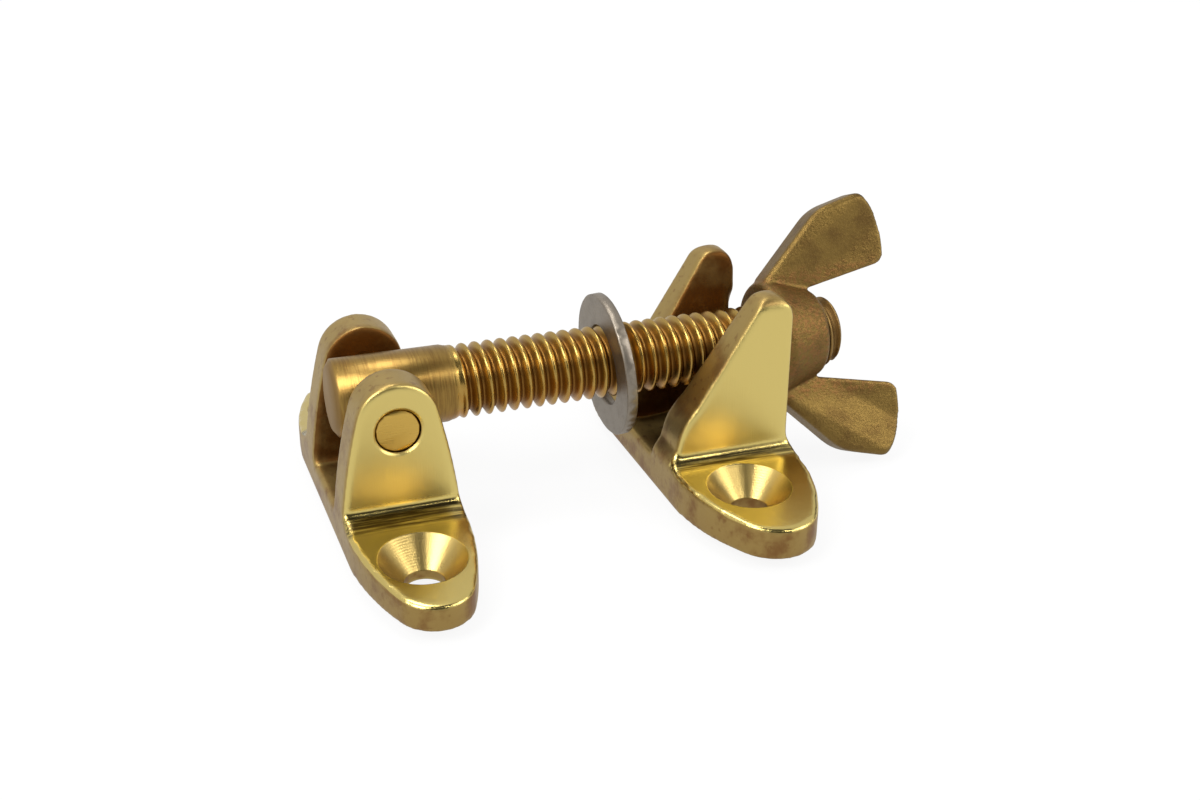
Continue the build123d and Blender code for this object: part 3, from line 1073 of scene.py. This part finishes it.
@dataclass
class RubbedCasting:
    """A bracket: its solid's form with edges that polishing rubbed round, and crisp drilled holes.

    A skin of squares of the grain's size is smoothed so many rubs. It stays rubbed up to
    the rubbed distance from a crease, and lies on the solid again from the kept distance.
    A crease is an edge of more than so many degrees, marked by points one step apart.
    """

    node: Node
    finish: CastBrass
    drills: tuple[Drill, ...]
    grain: float = 0.21 * MM
    rubs: int = 9
    last_rubs: int = 3
    rubbed: float = 0.35 * MM
    kept: float = 0.80 * MM
    crease: float = 24.0
    crease_step: float = 0.15 * MM
    sliver: float = 0.01 * MM

    def build(self) -> None:
        """Makes the casting and stands it in for the node."""
        solid = copy_of(self.node)
        self.plug(solid)
        surface = BVHTree.FromBMesh(solid)
        creases = self.creases_of(solid)
        piece = put_in(solid, "rubbed_" + self.node.value, self.finish.make(), NO_SHARP)
        skin = piece.modifiers.new("skin", "REMESH")
        skin.mode = "VOXEL"
        skin.voxel_size = self.grain
        bake_in(piece)
        self.rub(piece.data, surface, creases)
        self.drill(piece)
        piece.data.set_sharp_from_angle(angle=math.radians(SHARP))
        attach(piece, Body.BRACKETS.value)
        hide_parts(self.node.value)
        LOG.info("%s: %d faces", piece.name, len(piece.data.polygons))

    def plug(self, mesh: BMesh) -> None:
        """Closes the drilled holes, so that their mouths aren't rubbed round with the rest."""
        bores = [f for f in mesh.faces if any(all(d.holds(v.co) for v in f.verts) for d in self.drills)]
        bmesh.ops.delete(mesh, geom=bores, context="FACES")
        rims = [edge for edge in mesh.edges if edge.is_boundary]
        bmesh.ops.holes_fill(mesh, edges=rims, sides=0)
        bmesh.ops.triangulate(mesh, faces=mesh.faces[:])
        LOG.info("%s: %d bore faces plugged", self.node.value, len(bores))

    def creases_of(self, mesh: BMesh) -> KDTree:
        """Points along the solid's sharp edges.

        Args:
            mesh: the plugged solid.

        Returns:
            The points in a tree that finds the nearest.
        """
        points = []
        for edge in mesh.edges:
            if edge.calc_face_angle(0.0) > math.radians(self.crease):
                first, last = (vert.co for vert in edge.verts)
                count = max(1, math.ceil((last - first).length / self.crease_step))
                points += [first.lerp(last, i / count) for i in range(count + 1)]
        tree = KDTree(len(points))
        for i, point in enumerate(points):
            tree.insert(point, i)
        tree.balance()
        return tree

    def rub(self, data: Mesh, surface: BVHTree, creases: KDTree) -> None:
        """Smooths the skin near the creases and lays the rest back on the solid's faces.

        Args:
            data: the skin's mesh.
            surface: the plugged solid.
            creases: the solid's sharp edges.
        """
        mesh = bmesh.new()
        mesh.from_mesh(data)
        for _ in range(self.rubs):
            self.smooth(mesh)
        for vert in mesh.verts:
            share = eased((creases.find(vert.co)[2] - self.rubbed) / (self.kept - self.rubbed))
            if share > 0.0:
                vert.co = vert.co.lerp(surface.find_nearest(vert.co)[0], share)
        for _ in range(self.last_rubs):
            self.smooth(mesh)
        mesh.to_mesh(data)
        mesh.free()

    def smooth(self, mesh: BMesh) -> None:
        """Moves every vertex halfway to its neighbours' middle."""
        bmesh.ops.smooth_vert(
            mesh, verts=mesh.verts, factor=0.5, use_axis_x=True, use_axis_y=True, use_axis_z=True
        )

    def drill(self, piece: Object) -> None:
        """Cuts the holes again, crisp."""
        tools = bmesh.new()
        for drill in self.drills:
            join(tools, drill.cutter())
        tool = put_in(tools, "tools", piece.data.materials[0])
        cut = piece.modifiers.new("holes", "BOOLEAN")
        cut.operation = "DIFFERENCE"
        cut.solver = "MANIFOLD"
        cut.object = tool
        bake_in(piece)
        gone = tool.data
        bpy.data.objects.remove(tool)
        bpy.data.meshes.remove(gone)
        self.clean(piece.data)

    def clean(self, data: Mesh) -> None:
        """Takes out the slivers that a cut leaves, and closes what they leave open."""
        mesh = bmesh.new()
        mesh.from_mesh(data)
        bmesh.ops.remove_doubles(mesh, verts=mesh.verts, dist=self.sliver)
        bmesh.ops.dissolve_degenerate(mesh, edges=mesh.edges, dist=self.sliver)
        many_sided = [face for face in mesh.faces if len(face.verts) > 4]
        bmesh.ops.triangulate(mesh, faces=many_sided)
        open_edges = [edge for edge in mesh.edges if edge.is_boundary]
        bmesh.ops.holes_fill(mesh, edges=open_edges, sides=0)
        odd = sum(not edge.is_manifold for edge in mesh.edges)
        LOG.info("%s: %d open and %d odd edges", self.node.value, len(open_edges), odd)
        mesh.to_mesh(data)
        mesh.free()


@dataclass
class SolidCopy:
    """A piece that keeps its solid's form, merged and smoothly shaded, with its own finish.

    The sway is how much more its large faces turn the shading than its small ones, where
    50 is evenly.
    """

    node: Node
    body: Body
    slot: str
    finish: Finish
    sharp: float = 32.0
    sway: int = 60

    def build(self) -> None:
        """Makes the copy and stands it in for the node."""
        piece = put_in(copy_of(self.node), "skin_of_" + self.node.value, self.finish.make(), self.sharp)
        weight = piece.modifiers.new("weight", "WEIGHTED_NORMAL")
        weight.mode = "FACE_AREA"
        weight.weight = self.sway
        weight.keep_sharp = True
        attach(piece, self.body.value)
        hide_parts(self.node.value)
        LOG.info("%s: %d faces", piece.name, len(piece.data.polygons))


@dataclass
class Castings:
    """Both brackets, the pin and the washer. The mouths' radii are in millimetres."""

    pivot: CastBrass = CastBrass(
        name="pivot_casting",
        middle=(0.0, 0.0, 0.0),
        face_y=10.0,
        slot_y=5.4,
        root_y=13.2,
        foot_z=3.8,
        hole_x=0.0,
        hole_y=18.4,
    )
    fork: CastBrass = CastBrass(
        name="fork_casting",
        middle=(36.4, 0.0, 0.0),
        face_y=9.6,
        slot_y=4.6,
        root_y=11.8,
        foot_z=4.2,
        hole_x=-0.6,
        hole_y=16.0,
    )
    pivot_mouth: float = 4.8
    fork_mouth: float = 4.7
    pin_hole: Drill = Drill(
        centre=(0.0, 0.0, 13.2),
        axis=(0.0, 1.0, 0.0),
        outline=(
            (0.0, -14.0), (2.6, -14.0), (2.6, -10.0), (2.35, -9.75),
            (2.35, 9.75), (2.6, 10.0), (2.6, 14.0), (0.0, 14.0),
        ),
    )

    def build(self) -> None:
        """Builds each piece over its node."""
        pivot_drills = (self.pin_hole, *countersinks(self.pivot, self.pivot_mouth))
        fork_drills = countersinks(self.fork, self.fork_mouth)
        for piece in (
            RubbedCasting(Node.PIVOT_BRACKET, self.pivot, pivot_drills),
            RubbedCasting(Node.FORK_BRACKET, self.fork, fork_drills),
            SolidCopy(Node.PIVOT_PIN, Body.BRACKETS, "pin_brass", PinBrass()),
            SolidCopy(Node.WASHER, Body.WASHER, "washer_steel", GreySteel()),
        ):
            piece.build()


@dataclass(frozen=True)
class Lamp:
    """A soft square lamp that faces the object: its place, its side and its power in watts."""

    name: str
    place: Colour
    side: float
    power: float


@dataclass(frozen=True)
class Card:
    """A dark card outside the view, for the metal to reflect: its middle and its size."""

    name: str
    place: Colour
    width: float
    height: float


@dataclass
class Studio:
    """The pale floor, the soft lights, the dark cards and the camera.

    The angles are in degrees. The mirrored share is how bright the metal sees the
    surroundings, against the white that the camera sees.
    """

    azimuth: float = -20.196
    elevation: float = 25.141
    roll: float = 0.578
    eye: Colour = (-30.718 * MM, -150.907 * MM, 84.0 * MM)
    focal_px: float = 1615.1
    image_width: int = 1200
    sensor_width: float = 36.0
    nearest: float = 5.0 * MM
    middle: Colour = (25.0 * MM, 0.0, 8.0 * MM)
    mirrored: float = 0.74
    floor_white: float = 0.82
    floor_even: float = 0.90
    floor_half: float = 1.5
    clearance: float = 0.05 * MM
    card_grey: float = 0.02
    lamps: tuple[Lamp, ...] = (
        Lamp("key", (-0.40, -0.20, 0.50), 0.35, 3.2),
        Lamp("fill", (0.50, -0.25, 0.35), 0.30, 1.2),
        Lamp("top", (-0.07, 0.18, 0.58), 0.20, 0.9),
        Lamp("glint", (0.17, -0.27, 0.37), 0.05, 0.16),
    )
    cards: tuple[Card, ...] = (
        Card("card_front", (-0.04, -0.40, 0.26), 0.62, 0.34),
        Card("card_above", (0.06, -0.14, 0.48), 0.40, 0.34),
        Card("card_right", (0.45, 0.15, 0.16), 0.30, 0.14),
    )

    def camera(self) -> None:
        """Sets the camera where the photograph was taken from."""
        a, e, r = (math.radians(v) for v in (self.azimuth, self.elevation, self.roll))
        back = Vector((math.sin(a) * math.cos(e), -math.cos(a) * math.cos(e), math.sin(e)))
        level = Vector((math.cos(a), math.sin(a), 0.0))
        rise = back.cross(level)
        right = level * math.cos(r) + rise * math.sin(r)
        up = rise * math.cos(r) - level * math.sin(r)
        data = bpy.data.cameras.new("camera")
        data.sensor_width = self.sensor_width
        data.lens = self.focal_px * data.sensor_width / self.image_width
        data.clip_start = self.nearest
        made = bpy.data.objects.new("camera", data)
        bpy.context.scene.collection.objects.link(made)
        made.matrix_world = Matrix.Translation(self.eye) @ Matrix((right, up, back)).transposed().to_4x4()
        bpy.context.scene.camera = made

    def hang_lamp(self, lamp: Lamp) -> None:
        """Adds one lamp."""
        data = bpy.data.lights.new(lamp.name, "AREA")
        data.shape = "SQUARE"
        data.size = lamp.side
        data.energy = lamp.power
        made = bpy.data.objects.new(lamp.name, data)
        bpy.context.scene.collection.objects.link(made)
        made.location = lamp.place
        made.rotation_mode = "QUATERNION"
        made.rotation_quaternion = (Vector(self.middle) - Vector(lamp.place)).to_track_quat("-Z", "Y")

    def pale(self, name: str, albedo: float, share: float) -> Material:
        """A white surface that the camera and metal see nearly evenly lit.

        Args:
            name: the material's name.
            albedo: how white it is.
            share: how much of an even light the camera and glossy rays see.

        Returns:
            The material.
        """
        g = Graph(name)
        g.give(Base_Color=(albedo,) * 3, Roughness=1.0)
        g.shader.inputs["Specular IOR Level"].default_value = 0.0
        path = g.tree.nodes.new("ShaderNodeLightPath")
        straight, through, glossy = (
            Value(g, path.outputs[f"Is {kind} Ray"]) for kind in ("Camera", "Transmission", "Glossy")
        )
        seen = straight.at_least(through)
        white = g.node("ShaderNodeEmission", {}, {"Color": WHITE, "Strength": 1.0})
        soft = g.node("ShaderNodeEmission", {}, {"Color": WHITE, "Strength": self.mirrored})
        lit = Value(g, g.shader.outputs[0])
        mixed = g.node("ShaderNodeMixShader", {}, {0: seen * share, 1: lit, 2: white})
        mixed = g.node("ShaderNodeMixShader", {}, {0: glossy * share, 1: mixed, 2: soft})
        g.feed(g.output.inputs[0], mixed)
        return g.material

    def floor(self) -> None:
        """Lays the pale floor just under the lowest point, which is a wing's tip."""
        mesh = bmesh.new()
        bmesh.ops.create_grid(mesh, x_segments=1, y_segments=1, size=self.floor_half)
        bmesh.ops.translate(mesh, verts=mesh.verts, vec=(0.0, 0.0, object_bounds()[0][2] - self.clearance))
        made = put_in(mesh, "floor", self.pale("pale_floor", self.floor_white, self.floor_even))
        made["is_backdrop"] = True

    def world(self) -> None:
        """Lights the surroundings softly, white where the camera sees them."""
        world = bpy.data.worlds.new("surroundings")
        bpy.context.scene.world = world
        world.use_nodes = True
        tree = world.node_tree
        tree.nodes.clear()
        output = tree.nodes.new("ShaderNodeOutputWorld")
        mix = tree.nodes.new("ShaderNodeMixShader")
        for slot, strength in ((1, self.mirrored), (2, 1.0)):
            shade = tree.nodes.new("ShaderNodeBackground")
            shade.inputs[0].default_value = (*WHITE, 1.0)
            shade.inputs[1].default_value = strength
            tree.links.new(shade.outputs[0], mix.inputs[slot])
        path = tree.nodes.new("ShaderNodeLightPath")
        seen = tree.nodes.new("ShaderNodeMath")
        seen.operation = "MAXIMUM"
        tree.links.new(path.outputs["Is Camera Ray"], seen.inputs[0])
        tree.links.new(path.outputs["Is Transmission Ray"], seen.inputs[1])
        tree.links.new(seen.outputs[0], mix.inputs[0])
        tree.links.new(mix.outputs[0], output.inputs[0])

    def hang_card(self, card: Card) -> None:
        """Adds one card, turned to the object."""
        mesh = bmesh.new()
        bmesh.ops.create_grid(mesh, x_segments=1, y_segments=1, size=0.5)
        bmesh.ops.scale(mesh, verts=mesh.verts, vec=(card.width, card.height, 1.0))
        turn = (Vector(self.middle) - Vector(card.place)).to_track_quat("Z", "Y").to_matrix()
        bmesh.ops.rotate(mesh, verts=mesh.verts, cent=(0.0, 0.0, 0.0), matrix=turn)
        bmesh.ops.translate(mesh, verts=mesh.verts, vec=card.place)
        g = Graph(card.name)
        g.give(Base_Color=(self.card_grey,) * 3, Roughness=1.0)
        made = put_in(mesh, card.name, g.material)
        made.visible_camera = False
        made.visible_shadow = False
        made.visible_diffuse = False
        made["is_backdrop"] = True

    def set_up(self) -> None:
        """Makes the whole studio."""
        self.camera()
        self.floor()
        self.world()
        for lamp in self.lamps:
            self.hang_lamp(lamp)
        for card in self.cards:
            self.hang_card(card)
        bpy.context.scene.view_settings.view_transform = "Standard"


def main() -> None:
    """Dresses the latch and sets up its studio."""
    logging.basicConfig(level=logging.INFO, format="%(name)s %(message)s")
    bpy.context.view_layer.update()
    Studio().set_up()
    Castings().build()
    ThreadedBolt().build()
    CastWingNut().build()


if __name__ == "__main__":
    main()
